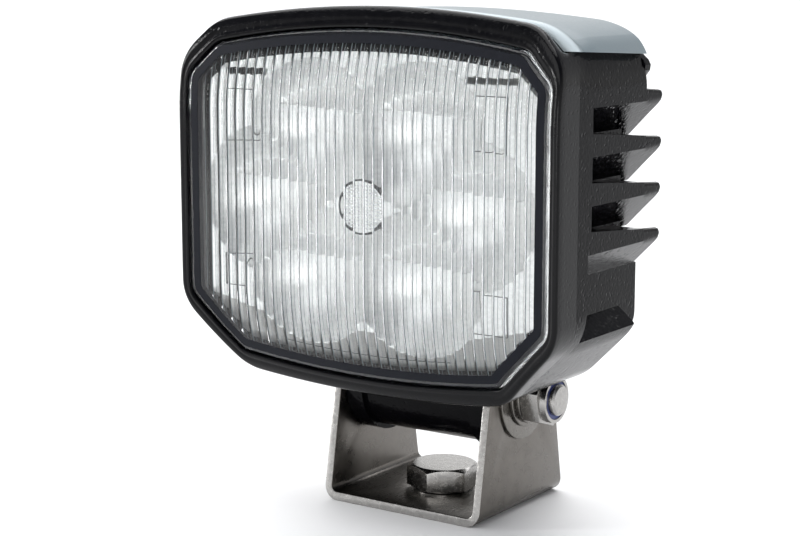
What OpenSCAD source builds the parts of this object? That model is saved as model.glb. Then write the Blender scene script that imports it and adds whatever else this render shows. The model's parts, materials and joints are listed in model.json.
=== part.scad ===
// Fog light: cast housing with a fluted lens, hung on a stainless U bracket by one pivot bolt
// and held to the vehicle by one M10 bolt. Millimetres, +Z up, the lens faces -Y.
// The origin is on the axis of the mounting bolt, in the plane of the bracket's underside.

/* [Head] */
// Half of the width of the head
head_half_w = 56; // [54:0.5:58]
// Height of the crown of the head above the bracket's underside
head_top_z = 129.2; // [127:0.2:131]
// Height of the lowest point of the head above the bracket's underside
head_bottom_z = 33.4; // [33:0.2:34.4]
// Y of the flat middle of the lens
lens_y = -39; // [-40:0.5:-38]
// Y of the rear wall's outer face
rear_y = 3.5; // [3.5:0.5:6]
// Radius of the corners of the head's outline
head_corner_r = 7; // [4:0.5:9]

/* [Lens and reflector] */
// Half of the width of the lens
lens_half_w = 53.3; // [52.5:0.1:53.5]
// Thickness of the lens
lens_t = 2.6; // [2:0.1:2.8]
// Width of the seal under the lens edge
seal_w = 3.4; // [2.5:0.1:3.5]
// Radius of each reflector cup at its mouth
cup_r = 18.6; // [16:0.2:18.6]
// Diameter of the cap in the middle of the reflector
cap_d = 13.8; // [10:0.2:15]

/* [Cooling fins] */
// Height of the lower edge of the lowest fin on the side of the head
fin_low_z = 72.6; // [71:0.2:74]
// Distance from one fin to the next
fin_pitch = 11.33; // [11:0.01:11.6]
// Height of a fin on the side of the head, at its front end
fin_front_h = 5.4; // [4.5:0.1:6]
// How far the fins stand behind the rear wall
fin_reach = 9; // [5:0.5:10]

/* [Bracket] */
// Outer width of the bracket
bracket_w = 48.2; // [47.8:0.2:50]
// Thickness of the bracket's sheet
bracket_t = 2.2; // [1.8:0.1:2.4]
// Depth of the bracket's base
bracket_d = 42; // [38:0.5:44]
// Height of the pivot axis above the bracket's underside
pivot_z = 30.5; // [30:0.5:31]
// Width of the mounting bolt's thread
mount_d = 10; // [8:1:10]
// Width of the pivot bolt's thread
pivot_d = 8; // [6:1:8]

/* [Hidden] */
$fn = 64;
far = 200;
eps = 0.01;

// outline of the head: [half width, crown z, crown radius, x+z of the upper corner cut,
// bottom z, bottom radius, x-z of the lower corner cut, corner radius]
head_line = [head_half_w, head_top_z, 290, head_top_z + 43.4, head_bottom_z, 290, 3, head_corner_r];
lens_line = [lens_half_w, head_top_z - 5.4, 250, head_top_z + 36, head_bottom_z + 4.5, 265, -2, 5];
corner_steps = 5;
bow_steps = 6;

// side profile of the front: flat in the middle, swept back above and below
flat_low_z = 60;
flat_high_z = 102;
sweep_r = 52.3;
sweep_steps = 8;
rim_proud = 0.6;
seat_dy = lens_t + 1.4;
plate_depth = 25;
sweep_reach = 31;

// inside of the housing
wall = 3.5;
front_room_y = -29.6;
room_half_w = 45.6;
room_floor_z = 46.4;
belly_half_w = 37.6;
belly_front_y = -27;
belly_top_z = 44;

// stack from the lens to the rear wall
reflector_dy = 3.3;
reflector_t = 1.6;
cup_floor_y = -19.4;
cup_wall = 1.3;
led_hole_r = 4.2;
board_front_y = -17.4;
board_t = 1.4;
pad_t = 0.6;
spreader_t = 3;
driver_front_y = -4.6;
driver_t = 1.6;
floor_y = rear_y - wall;
cup_places = [[-16, 99.3], [16, 99.3], [-30.3, 81], [30.3, 81], [-16, 62.7], [16, 62.7]];
centre_z = 81;
spreader_rear_y = board_front_y + board_t + pad_t + spreader_t;
spreader_corners = [[-40.5, 96], [40.5, 96], [-40.5, 66], [40.5, 66]];
driver_posts = [[-30, 104], [30, 104], [-30, 58], [30, 58]];
post_r = 3.2;
spreader_screw_r = 1.5;
driver_screw_r = 1.2;
plate_half_w = 43.6;
plate_low_z = 47.4;
plate_high_z = 114;
plate_low_half = 33;
plate_high_half = 37;
plate_side_low_z = 58;
plate_side_high_z = 107;
lead_places = [[-3, 106], [3, 106]];
lead_r = 0.7;

// fins
fin_count = 4;
fin_slope = 5.03;
notch_front_y = -23.7;
notch_x = 49;
fin_drop = 7.5;
fin_lip = 9.1;
fin_lip_w = 2.5;
fin_plate_t = 2.8;
fin_tip_h = 2.6;
crest_low_z = 113;
crest_reach = 3;
crest_inset = 2.4;
crest_t = 3.6;
recess_front_y = -25.1;
recess_low_z = 55.8;
recess_fall = 6.2;
cheek_plate_t = 3.4;
cheek_low_z = 49.2;
cheek_corner_r = 4;

// bracket and pivot
bend_r = 4;
ear_lean = 0.169;
ear_top_r = 12.4;
ear_top_angle = 30;
ear_gap = 0.3;
inner_half = bracket_w / 2 - bracket_t;
running_gap = 0.08;
lug_half_w = inner_half - 0.5;
cheek_r = 14.6;
web_r = 13.4;
cheek_t = 5;
sleeve_r = 6;
large_washer_t = 0.8;
small_washer_t = 1;
spring_washer_t = 1.2;
nut_hex_t = 5.2;
nut_collar_t = 1.8;
nut_af = 13;
nut_x = bracket_w / 2 + large_washer_t + small_washer_t + spring_washer_t;
bolt_end_x = nut_x + nut_hex_t + nut_collar_t + 1.3;
pivot_head_t = 5.3;

// mounting bolt
mount_af = 17;
mount_head_t = 6.4;
mount_reach = 6;
shoulder = 0.2;
washer_face_t = 0.6;
washer_face_r = 7.9;
head_gap = 0.2;

// cover
cover_t = 1.8;
cover_drop = 0.4;
cover_front_y = -28.8;
cover_low_z = 119.4;
cover_lean = 2.9;
cover_pins = [[-40, -22], [40, -22], [-40, -4], [40, -4]];
cover_pin_r = 1.6;
cover_pin_l = 3.5;

// rear connector and vent
connector_z = 56;
connector_w = 17;
connector_h = 14;
connector_wall = 1.4;
connector_end_y = 22;
flange_w = 32;
flange_h = 16;
flange_t = 2.4;
gasket_t = 0.8;
screw_x = 12.6;
connector_screw_r = 1.3;
pin_x = 3.2;
pin_r = 1.15;
vent_x = -40;
vent_z = 56;
vent_r = 5;

// small parts of the head
cap_t = 1.2;
cap_seat_y = lens_y + reflector_dy;
centre_head_y = cap_seat_y + cap_t + 3;
centre_screw_r = 1.5;
led_w = 3.4;
led_t = 0.8;
led_dome_r = 1.4;
driver_half_w = 34;
driver_low_z = 53;
driver_high_z = 109;
inductor_w = 10;
inductor_t = 4.5;
inductor_x = -18;
inductor_z = 70;
capacitor_r = 3.1;
capacitor_l = 6;
capacitor_xs = [2, 10, 18];
capacitor_z = 70;
chip_w = 5;
chip_h = 4;
chip_t = 1.1;
chip_places = [[-10, 90], [2, 92], [14, 90]];
membrane_t = 0.3;
vent_cap_t = 2.4;

// small dimensions of the fasteners
mount_turn = 36.5;
mount_chamfer = 0.9;
bolt_chamfer = 0.5;
large_washer_r = 11.35;
small_washer_r = 8;
spring_washer_r = 7;
nut_turn = 12;
nut_collar_r = 6;
insert_r = 5.1;

steel = "silver";
dark = [0.08, 0.08, 0.09];

// ---------------------------------------------------------------- outlines

function arc(cx, cz, r, a0, a1, n) = [for (i = [0:n]) let (a = a0 + (a1 - a0) * i / n)
    [cx + r * cos(a), cz + r * sin(a)]];
function low_corner_x(o, r) = let (k = o[6] - r * sqrt(2) + o[4] + o[5])
    (k - sqrt(2 * pow(o[5] - r, 2) - k * k)) / 2;
function high_corner_x(o, r) = let (m = o[3] - r * sqrt(2) - o[1] + o[2])
    (m - sqrt(2 * pow(o[2] - r, 2) - m * m)) / 2;

// right half of an outline, from the bottom to the crown, moved inwards by d
function half_outline(o, d) = let (
        r = o[7],
        x1 = low_corner_x(o, r), z1 = x1 - o[6] + r * sqrt(2),
        x2 = o[0] - r, z2 = x2 - o[6] + r * sqrt(2),
        z3 = o[3] - r * sqrt(2) - x2,
        x4 = high_corner_x(o, r), z4 = o[3] - r * sqrt(2) - x4,
        low_c = o[4] + o[5], high_c = o[1] - o[2],
        a1 = atan2(z1 - low_c, x1), a4 = atan2(z4 - high_c, x4))
    concat(arc(0, low_c, o[5] - d, -90, a1, bow_steps),
        arc(x1, z1, r - d, a1, -45, corner_steps),
        arc(x2, z2, r - d, -45, 0, corner_steps),
        arc(x2, z3, r - d, 0, 45, corner_steps),
        arc(x4, z4, r - d, 45, a4, corner_steps),
        arc(0, high_c, o[2] - d, a4, 90, bow_steps));
function same(a, b) = norm(a - b) < eps / 10;
function tidy(p) = [for (i = [0:len(p) - 1]) if (i == 0 || !same(p[i], p[i - 1])) p[i]];
function mirrored(p) = [for (i = [len(p) - 1:-1:0]) if (abs(p[i][0]) > eps) [-p[i][0], p[i][1]]];

module outline(o, d = 0) {
    half = tidy(half_outline(o, d));
    polygon(concat(half, mirrored(half)));
}

// ---------------------------------------------------------------- building helpers

module slab(y0, y1) translate([0, y1, 0]) rotate([90, 0, 0]) linear_extrude(y1 - y0) children();

module side_prism(x0, x1) translate([x0, 0, 0]) rotate([90, 0, 90]) linear_extrude(x1 - x0) children();

module along_x(x0, x1, r, y = 0, z = pivot_z) translate([x0, y, z]) rotate([0, 90, 0])
    cylinder(h = x1 - x0, r = r);

module along_y(y0, y1, r, x, z) translate([x, y1, z]) rotate([90, 0, 0]) cylinder(h = y1 - y0, r = r);

module box(x0, x1, y0, y1, z0, z1) translate([x0, y0, z0]) cube([x1 - x0, y1 - y0, z1 - z0]);

module both() { children(); mirror([1, 0, 0]) children(); }

// depth by which the swept front falls back at height z
function sweep(z) = let (dz = max(z - flat_high_z, flat_low_z - z, 0)) sweep_r - sqrt(sweep_r * sweep_r - dz * dz);
function front_curve(dy) = concat(
    [for (i = [0:sweep_steps]) let (z = flat_high_z + sweep_reach * (1 - i / sweep_steps))
        [lens_y + dy + sweep(z), z]],
    [for (i = [0:sweep_steps]) let (z = flat_low_z - sweep_reach * i / sweep_steps)
        [lens_y + dy + sweep(z), z]]);

// everything in front of the swept surface that lies dy behind the lens face, and everything behind it
module before(dy) side_prism(-far / 2, far / 2)
    polygon(concat([[-far / 2, flat_high_z + sweep_reach]], front_curve(dy), [[-far / 2, flat_low_z - sweep_reach]]));

module behind(dy) side_prism(-far / 2, far / 2)
    polygon(concat([[far / 2, flat_high_z + sweep_reach]], front_curve(dy), [[far / 2, flat_low_z - sweep_reach]]));

module swept_plate(o, d, dy0, dy1) intersection() {
    slab(lens_y - 5, lens_y + plate_depth) outline(o, d);
    behind(dy0);
    before(dy1);
}

module pan_screw(y0, length, r, x, z) {
    along_y(y0, y0 + length, r, x, z);
    along_y(y0 - r, y0, 2 * r, x, z);
}

// ---------------------------------------------------------------- housing

module fin_shape(z_low) polygon([[0, z_low - fin_drop], [head_half_w - fin_lip - fin_lip_w, z_low - fin_drop],
    [head_half_w - fin_lip, z_low - fin_lip], [head_half_w, z_low], [head_half_w, z_low + fin_tip_h],
    [head_half_w - fin_drop + 0.2, z_low - fin_drop + fin_plate_t], [0, z_low - fin_drop + fin_plate_t]]);

module rear_fins() for (i = [0:fin_count - 1]) both()
    slab(rear_y - 1, rear_y + fin_reach) fin_shape(fin_low_z + i * fin_pitch);

// cut between two fins on the side of the head; its floor falls towards the rear
module side_notch(z_low, z_floor) intersection() {
    slab(notch_front_y, rear_y + 1) polygon([[head_half_w + 2, z_low - fin_pitch], [notch_x, z_low - fin_pitch],
        [notch_x, z_low - head_half_w + notch_x], [head_half_w + 2, z_low + 2]]);
    translate([0, notch_front_y, z_floor]) rotate([-fin_slope, 0, 0]) box(0, far, -far / 2, far / 2, 0, far);
}

module lower_recess() slab(recess_front_y, rear_y + 1)
    polygon([[head_half_w + 2, fin_low_z + 2], [notch_x, fin_low_z - head_half_w + notch_x],
        [notch_x, recess_low_z], [head_half_w + 2, recess_low_z - recess_fall]]);

// plates that carry the wall of the lower recess on behind the rear wall, to the depth of the fins
module rear_cheeks() both() side_prism(notch_x - cheek_plate_t, notch_x) polygon(concat(
    [[rear_y - 1, cheek_low_z]],
    arc(rear_y + fin_reach - cheek_corner_r, cheek_low_z + cheek_corner_r, cheek_corner_r, -90, 0, corner_steps),
    [[rear_y + fin_reach, fin_low_z - head_half_w + notch_x], [rear_y - 1, fin_low_z - head_half_w + notch_x]]));

module body_block() difference() {
    union() {
        intersection() {
            slab(lens_y - 2, rear_y) outline(head_line);
            behind(-rim_proud);
        }
        rear_crest();
        rear_fins();
        rear_cheeks();
    }
    both() for (i = [1:fin_count - 1])
        side_notch(fin_low_z + i * fin_pitch, fin_low_z + (i - 1) * fin_pitch + fin_front_h);
    both() lower_recess();
    box(-belly_half_w, belly_half_w, belly_front_y, far / 2, 0, belly_top_z);
}

module rear_crest() intersection() {
    slab(rear_y - 1, rear_y + crest_reach) difference() {
        outline(head_line, crest_inset);
        outline(head_line, crest_inset + crest_t);
    }
    box(-far / 2, far / 2, -far / 2, far / 2, crest_low_z, far);
}

// recess in the top for the cover, open towards the rear
module cover_room(gap) intersection() {
    slab(cover_front_y - gap, rear_y + 4) difference() {
        outline(head_line, -1);
        outline(head_line, cover_drop + cover_t);
    }
    cover_side_cut(gap);
}

module cover_side_cut(gap) translate([0, cover_front_y, cover_low_z - gap]) rotate([-cover_lean, 0, 0])
    box(-far / 2, far / 2, -far / 2, far / 2, 0, far);

module lug() {
    both() side_prism(lug_half_w - cheek_t, lug_half_w) translate([0, pivot_z]) lug_side(cheek_r);
    side_prism(-lug_half_w + cheek_t - eps, lug_half_w - cheek_t + eps) translate([0, pivot_z]) lug_side(web_r);
}

module lug_side(r) {
    circle(r = r);
    polygon([[-r, 0], [-r, belly_top_z - pivot_z + 1], [4, belly_top_z - pivot_z + 1], [r * cos(25), r * sin(25)]]);
}

module rooms() {
    intersection() {
        slab(lens_y, front_room_y) outline(lens_line, seal_w + 0.6);
        behind(seat_dy - 1);
    }
    intersection() {
        slab(front_room_y - eps, floor_y) outline(lens_line, seal_w + 0.6);
        box(-room_half_w, room_half_w, -far / 2, far / 2, room_floor_z, far);
    }
    intersection() {
        slab(lens_y - 5, lens_y + plate_depth) outline(lens_line, -0.3);
        before(seat_dy);
    }
}

module posts() {
    for (p = driver_posts) along_y(driver_front_y + driver_t, floor_y + 1, post_r, p[0], p[1]);
    for (p = spreader_corners) along_y(spreader_rear_y, floor_y + 1, post_r, p[0], p[1]);
}

module housing() color(dark) difference() {
    union() {
        difference() {
            body_block();
            rooms();
            cover_room(0.1);
        }
        lug();
        posts();
    }
    along_x(-far / 2, far / 2, sleeve_r);
    for (p = driver_posts) along_y(driver_front_y, floor_y + 0.5, driver_screw_r, p[0], p[1]);
    for (p = spreader_corners) along_y(spreader_rear_y - 1, floor_y - 2, spreader_screw_r, p[0], p[1]);
    for (p = cover_pins) translate([p[0], p[1], cover_under_z(p[0]) - cover_pin_l])
        cylinder(h = cover_pin_l + 1, r = cover_pin_r);
    slab(-1, far / 2) translate([0, connector_z]) square([connector_w - 4, connector_h - 4], center = true);
    both() along_y(floor_y + 0.4, rear_y + 1, connector_screw_r, screw_x, connector_z);
    along_y(-1, rear_y + 1, vent_r - 2, vent_x, vent_z);
}
function cover_under_z(x) = head_top_z - head_line[2] + sqrt(pow(head_line[2] - cover_drop - cover_t, 2) - x * x);

// ---------------------------------------------------------------- head parts

module pivot_sleeve() color("lightsteelblue") difference() {
    along_x(-inner_half + ear_gap, inner_half - ear_gap, sleeve_r);
    along_x(-far / 2, far / 2, pivot_d / 2 + running_gap);
}

module top_cover() color([0.6, 0.66, 0.69]) {
    intersection() {
        slab(cover_front_y, rear_y - 0.2) difference() {
            outline(head_line, cover_drop);
            outline(head_line, cover_drop + cover_t);
        }
        cover_side_cut(0);
    }
    for (p = cover_pins) translate([p[0], p[1], cover_under_z(p[0]) - cover_pin_l])
        cylinder(h = cover_pin_l + 0.8, r = cover_pin_r);
}

module lens() color([0.85, 0.9, 0.92, 0.5]) swept_plate(lens_line, 0, 0, lens_t);

module lens_seal() color([0.15, 0.16, 0.17]) difference() {
    swept_plate(lens_line, 0.3, lens_t, seat_dy);
    slab(lens_y - 5, lens_y + plate_depth) outline(lens_line, seal_w);
}

// share of a cup's depth reached at radius r
function cup_rise(r) = (r * r - led_hole_r * led_hole_r) / (cup_r * cup_r - led_hole_r * led_hole_r);

function cup_profile(extra) = concat([[0, cup_floor_y + extra], [led_hole_r + extra, cup_floor_y + extra]],
    [for (i = [1:8]) let (r = led_hole_r + (cup_r + 0.6 - led_hole_r) * i / 8)
        [r + extra, cup_floor_y + (lens_y + reflector_dy - cup_floor_y) * cup_rise(r)]],
    [[0, lens_y]]);

module cup(extra, p) translate([p[0], 0, p[1]]) rotate([-90, 0, 0]) rotate_extrude() polygon(cup_profile(extra));

module reflector() color("gainsboro") difference() {
    intersection() {
        union() {
            swept_plate(lens_line, seal_w + 1, reflector_dy, reflector_dy + reflector_t);
            for (p = cup_places) cup(cup_wall, p);
            along_y(cap_seat_y, board_front_y, cap_d / 2 + 1.2, 0, centre_z);
        }
        slab(lens_y, board_front_y) outline(lens_line, seal_w + 1);
        behind(reflector_dy);
    }
    for (p = cup_places) cup(0, p);
    for (p = cup_places) along_y(cup_floor_y - 1, board_front_y + 1, led_hole_r, p[0], p[1]);
    along_y(lens_y, cap_seat_y + cap_t, cap_d / 2, 0, centre_z);
    along_y(lens_y, centre_head_y, 2 * centre_screw_r, 0, centre_z);
    along_y(lens_y, board_front_y + 1, centre_screw_r, 0, centre_z);
}

module centre_cap() color([0.5, 0.5, 0.5]) along_y(cap_seat_y, cap_seat_y + cap_t, cap_d / 2, 0, centre_z);

module centre_screw() color(steel)
    pan_screw(centre_head_y, spreader_rear_y - 0.5 - centre_head_y, centre_screw_r, 0, centre_z);

// ---------------------------------------------------------------- light engine

module led_package(p) {
    translate([p[0], board_front_y - led_t / 2, p[1]]) cube([led_w, led_t, led_w], center = true);
    translate([p[0], board_front_y - led_t + eps, p[1]]) intersection() {
        sphere(r = led_dome_r);
        box(-led_w, led_w, -led_w, 0, -led_w, led_w);
    }
}

module leds() color("khaki") for (p = cup_places) led_package(p);

function plate_half(d) = [[0, plate_low_z + d], [plate_low_half - d, plate_low_z + d],
    [plate_half_w - d, plate_side_low_z], [plate_half_w - d, plate_side_high_z],
    [plate_high_half - d, plate_high_z - d], [0, plate_high_z - d]];

module engine_plate(y0, t, inset, hole_r) difference() {
    slab(y0, y0 + t) polygon(concat(plate_half(inset), mirrored(plate_half(inset))));
    for (p = spreader_corners) along_y(y0 - 1, y0 + t + 1, hole_r, p[0], p[1]);
    along_y(y0 - 1, y0 + t + 1, centre_screw_r, 0, centre_z);
}

module led_board() color("whitesmoke") engine_plate(board_front_y, board_t, 0.4, spreader_screw_r);

module thermal_pad() color("lightpink") difference() {
    engine_plate(board_front_y + board_t, pad_t, 1, spreader_screw_r);
    for (p = lead_places) along_y(board_front_y, 0, 2 * lead_r, p[0], p[1]);
}

module heat_spreader() color([0.75, 0.75, 0.77]) difference() {
    engine_plate(board_front_y + board_t + pad_t, spreader_t, 0, spreader_screw_r);
    for (p = lead_places) along_y(board_front_y, 0, 2 * lead_r, p[0], p[1]);
}

module spreader_screws() color(steel) for (p = spreader_corners)
    pan_screw(board_front_y, floor_y - 2.5 - board_front_y, spreader_screw_r, p[0], p[1]);

module led_leads() color("firebrick") for (p = lead_places)
    along_y(board_front_y + board_t, driver_front_y, lead_r, p[0], p[1]);

module driver_board() color("seagreen") difference() {
    box(-driver_half_w, driver_half_w, driver_front_y, driver_front_y + driver_t, driver_low_z, driver_high_z);
    for (p = driver_posts) along_y(driver_front_y - 1, 0, driver_screw_r, p[0], p[1]);
}

module driver_screws() color(steel) for (p = driver_posts)
    pan_screw(driver_front_y, driver_t + 2.8, driver_screw_r, p[0], p[1]);

module inductor() color([0.2, 0.2, 0.22]) {
    box(inductor_x - inductor_w / 2, inductor_x + inductor_w / 2, driver_front_y - inductor_t, driver_front_y,
        inductor_z - inductor_w / 2, inductor_z + inductor_w / 2);
    along_y(driver_front_y - inductor_t - 0.6, driver_front_y - inductor_t, inductor_w / 2 - 1.2,
        inductor_x, inductor_z);
}

module capacitors() color("darkslateblue") for (x = capacitor_xs)
    along_y(driver_front_y - capacitor_l, driver_front_y, capacitor_r, x, capacitor_z);

module driver_chips() color([0.12, 0.12, 0.13]) for (p = chip_places)
    box(p[0] - chip_w / 2, p[0] + chip_w / 2, driver_front_y - chip_t, driver_front_y, p[1] - chip_h / 2, p[1] + chip_h / 2);

// ---------------------------------------------------------------- rear connector and vent

module plate_at(y0, t, w, h) translate([0, y0 + t / 2, connector_z]) cube([w, t, h], center = true);

module rear_screw(y0, length, r, x, z) {
    along_y(y0 - length, y0, r, x, z);
    along_y(y0, y0 + r, 2 * r, x, z);
}

module connector_gasket() color([0.15, 0.15, 0.15]) difference() {
    plate_at(rear_y, gasket_t, flange_w, flange_h);
    plate_at(rear_y - 1, gasket_t + 2, connector_w - 4, connector_h - 4);
    both() along_y(rear_y - 1, rear_y + gasket_t + 1, connector_screw_r, screw_x, connector_z);
}

module connector_shell() color([0.18, 0.18, 0.19]) difference() {
    union() {
        plate_at(rear_y + gasket_t, flange_t, flange_w, flange_h);
        plate_at(rear_y + gasket_t, connector_end_y - rear_y - gasket_t, connector_w, connector_h);
    }
    plate_at(rear_y + gasket_t + flange_t, far, connector_w - 2 * connector_wall, connector_h - 2 * connector_wall);
    both() along_y(rear_y, rear_y + 2 * flange_t, pin_r, pin_x, connector_z);
    both() along_y(rear_y, rear_y + 2 * flange_t, connector_screw_r, screw_x, connector_z);
}

module connector_screws() color(steel) both()
    rear_screw(rear_y + gasket_t + flange_t, flange_t + gasket_t + 2.9, connector_screw_r, screw_x, connector_z);

module contact_pins() color("goldenrod") both()
    along_y(driver_front_y + driver_t, connector_end_y - 5, pin_r, pin_x, connector_z);

module vent_membrane() color("white") along_y(rear_y, rear_y + membrane_t, vent_r - 1.2, vent_x, vent_z);

module vent_cap() color([0.16, 0.16, 0.17]) difference() {
    union() {
        along_y(rear_y, rear_y + vent_cap_t, vent_r, vent_x, vent_z);
        along_y(rear_y + vent_cap_t - eps, rear_y + vent_cap_t + 0.7, vent_r - 1, vent_x, vent_z);
    }
    along_y(rear_y - 1, rear_y + membrane_t + 0.6, vent_r - 1.2, vent_x, vent_z);
    for (a = [0:60:120]) translate([vent_x, rear_y + membrane_t + 0.9, vent_z]) rotate([0, a, 0])
        cube([far / 10, 0.8, 1.2], center = true);
}

// ---------------------------------------------------------------- bracket and fasteners

function turned(p) = [for (i = [len(p) - 1:-1:0]) [-p[i][0], p[i][1]]];
function bracket_section(w, t) = let (
        o = concat(arc(w / 2 - bend_r, bend_r, bend_r, -90, 0, 2 * corner_steps), [[w / 2, far]]),
        i = concat([[w / 2 - t, far]], arc(w / 2 - bend_r, bend_r, bend_r - t, 0, -90, 2 * corner_steps)))
    concat(turned(i), turned(o), o, i);

function ear_side() = let (top = arc(0, pivot_z, ear_top_r, ear_top_angle, 180 - ear_top_angle, 3 * corner_steps))
    concat([[-bracket_d / 2, -1], [bracket_d / 2, -1], [bracket_d / 2, 0],
        [bracket_d / 2 - ear_lean * pivot_z, pivot_z]], top,
        [[-bracket_d / 2 + ear_lean * pivot_z, pivot_z], [-bracket_d / 2, 0]]);

module bracket() color([0.62, 0.6, 0.57]) difference() {
    bracket_form();
    translate([0, 0, -1]) cylinder(h = bracket_t + 2, r = mount_d / 2 + shoulder + running_gap);
    along_x(-far / 2, far / 2, pivot_d / 2);
}

module bracket_form() intersection() {
    slab(-far / 2, far / 2) polygon(bracket_section(bracket_w, bracket_t));
    side_prism(-far / 2, far / 2) polygon(ear_side());
}

// hexagonal block along +Z with the upper corners chamfered
module hex_block(af, h, chamfer) intersection() {
    cylinder(h = h, r = af / 2 / cos(30), $fn = 6);
    union() {
        cylinder(h = h - chamfer, r = af);
        translate([0, 0, h - chamfer - eps]) cylinder(h = chamfer + eps, r1 = af / 2 / cos(30), r2 = af / 2 * 0.96);
    }
}

module mounting_bolt() color(steel) {
    z0 = bracket_t + head_gap;
    translate([0, 0, -mount_reach]) cylinder(h = mount_reach + 1, r = mount_d / 2);
    cylinder(h = z0 + 1, r = mount_d / 2 + shoulder);
    translate([0, 0, z0]) cylinder(h = washer_face_t, r = washer_face_r);
    translate([0, 0, z0 + washer_face_t]) rotate([0, 0, mount_turn])
        hex_block(mount_af, mount_head_t - washer_face_t, mount_chamfer);
}

module washer(x0, t, r) difference() {
    along_x(x0, x0 + t, r);
    along_x(x0 - 1, x0 + t + 1, pivot_d / 2);
}

module pivot_bolt() color(steel) {
    along_x(-bracket_w / 2 - small_washer_t - 1, bolt_end_x - bolt_chamfer, pivot_d / 2);
    translate([bolt_end_x - bolt_chamfer - eps, 0, pivot_z]) rotate([0, 90, 0])
        cylinder(h = bolt_chamfer + eps, r1 = pivot_d / 2, r2 = pivot_d / 2 - bolt_chamfer);
    translate([-bracket_w / 2 - small_washer_t, 0, pivot_z]) rotate([0, -90, 0])
        hex_block(nut_af, pivot_head_t, 0.8);
}

module head_washer() color(steel) washer(-bracket_w / 2 - small_washer_t, small_washer_t, small_washer_r);

module large_washer() color(steel) washer(bracket_w / 2, large_washer_t, large_washer_r);

module small_washer() color(steel) washer(bracket_w / 2 + large_washer_t, small_washer_t, small_washer_r);

module spring_washer() color(steel) difference() {
    washer(nut_x - spring_washer_t, spring_washer_t, spring_washer_r);
    translate([0, 0, pivot_z]) rotate([20, 0, 0]) box(0, far, -0.6, 0.6, pivot_d / 4, far);
}

module lock_nut() color(steel) difference() {
    union() {
        translate([nut_x + nut_hex_t, 0, pivot_z]) rotate([0, 90, 0]) rotate([180, 0, nut_turn])
            hex_block(nut_af, nut_hex_t, 0.4);
        along_x(nut_x + nut_hex_t - 1, nut_x + nut_hex_t + nut_collar_t, nut_collar_r);
    }
    along_x(0, far, pivot_d / 2);
    along_x(nut_x + nut_hex_t, far, insert_r);
}

module nut_insert() color("midnightblue") difference() {
    along_x(nut_x + nut_hex_t, nut_x + nut_hex_t + nut_collar_t - 0.3, insert_r);
    along_x(0, far, pivot_d / 2);
}

mounting_bolt();
bracket();
pivot_bolt();
head_washer();
large_washer();
small_washer();
spring_washer();
lock_nut();
nut_insert();
housing();
pivot_sleeve();
top_cover();
lens();
lens_seal();
reflector();
centre_cap();
centre_screw();
leds();
led_board();
thermal_pad();
heat_spreader();
spreader_screws();
led_leads();
driver_board();
driver_screws();
inductor();
capacitors();
driver_chips();
connector_gasket();
connector_shell();
connector_screws();
contact_pins();
vent_cap();
vent_membrane();
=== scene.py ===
"""Looks of the fog light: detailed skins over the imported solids, materials, floor, light and camera."""

import bpy
import bmesh
import json
import math
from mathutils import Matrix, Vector

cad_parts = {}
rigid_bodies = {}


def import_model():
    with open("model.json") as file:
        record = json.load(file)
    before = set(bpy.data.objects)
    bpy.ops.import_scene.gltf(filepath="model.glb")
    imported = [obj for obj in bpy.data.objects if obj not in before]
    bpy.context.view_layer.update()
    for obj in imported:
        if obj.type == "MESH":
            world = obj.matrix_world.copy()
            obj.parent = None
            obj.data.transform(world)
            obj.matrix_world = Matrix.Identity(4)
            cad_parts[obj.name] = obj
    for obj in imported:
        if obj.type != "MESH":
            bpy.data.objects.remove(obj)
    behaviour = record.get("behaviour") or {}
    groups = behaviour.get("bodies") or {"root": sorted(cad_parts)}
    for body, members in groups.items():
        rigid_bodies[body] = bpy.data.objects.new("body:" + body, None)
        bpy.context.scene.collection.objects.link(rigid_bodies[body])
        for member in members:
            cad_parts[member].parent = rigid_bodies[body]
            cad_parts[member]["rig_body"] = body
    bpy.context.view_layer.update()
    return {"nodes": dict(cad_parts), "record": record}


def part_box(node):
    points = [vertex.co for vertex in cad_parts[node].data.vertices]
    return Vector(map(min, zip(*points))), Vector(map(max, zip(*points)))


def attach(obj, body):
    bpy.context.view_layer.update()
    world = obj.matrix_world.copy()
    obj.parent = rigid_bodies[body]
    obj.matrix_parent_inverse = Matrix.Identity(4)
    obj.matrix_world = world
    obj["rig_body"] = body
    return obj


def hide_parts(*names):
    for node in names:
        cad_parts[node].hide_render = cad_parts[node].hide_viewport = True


MM = 0.001
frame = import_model()
NODES = frame["nodes"]
SLOT_OF = {s["node"]: s["material_slot"] for s in frame["record"]["subparts"]}


# ---------------------------------------------------------------- node materials

NOISE_ROUGH = 0.55
RELIEF_DEPTH = 0.0001


def links(mat):
    """The nodes and links of a material, and its principled shader."""
    tree = mat.node_tree
    return tree.nodes, tree.links, tree.nodes["Principled BSDF"]


def noise(nodes, wires, coord, scale, detail=3.0, stretch=(1, 1, 1)):
    """Noise over the object's own coordinates."""
    place = nodes.new("ShaderNodeMapping")
    place.inputs["Scale"].default_value = stretch
    wires.new(coord.outputs["Object"], place.inputs["Vector"])
    tex = nodes.new("ShaderNodeTexNoise")
    tex.inputs["Scale"].default_value = scale
    tex.inputs["Detail"].default_value = detail
    tex.inputs["Roughness"].default_value = NOISE_ROUGH
    wires.new(place.outputs["Vector"], tex.inputs["Vector"])
    return tex


def ramp(nodes, wires, source, a, b, low=0.3, high=0.7):
    """Map the values from low to high of a source onto a to b."""
    band = nodes.new("ShaderNodeMapRange")
    band.inputs["From Min"].default_value = low
    band.inputs["From Max"].default_value = high
    band.inputs["To Min"].default_value = a
    band.inputs["To Max"].default_value = b
    wires.new(source, band.inputs["Value"])
    return band.outputs["Result"]


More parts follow.
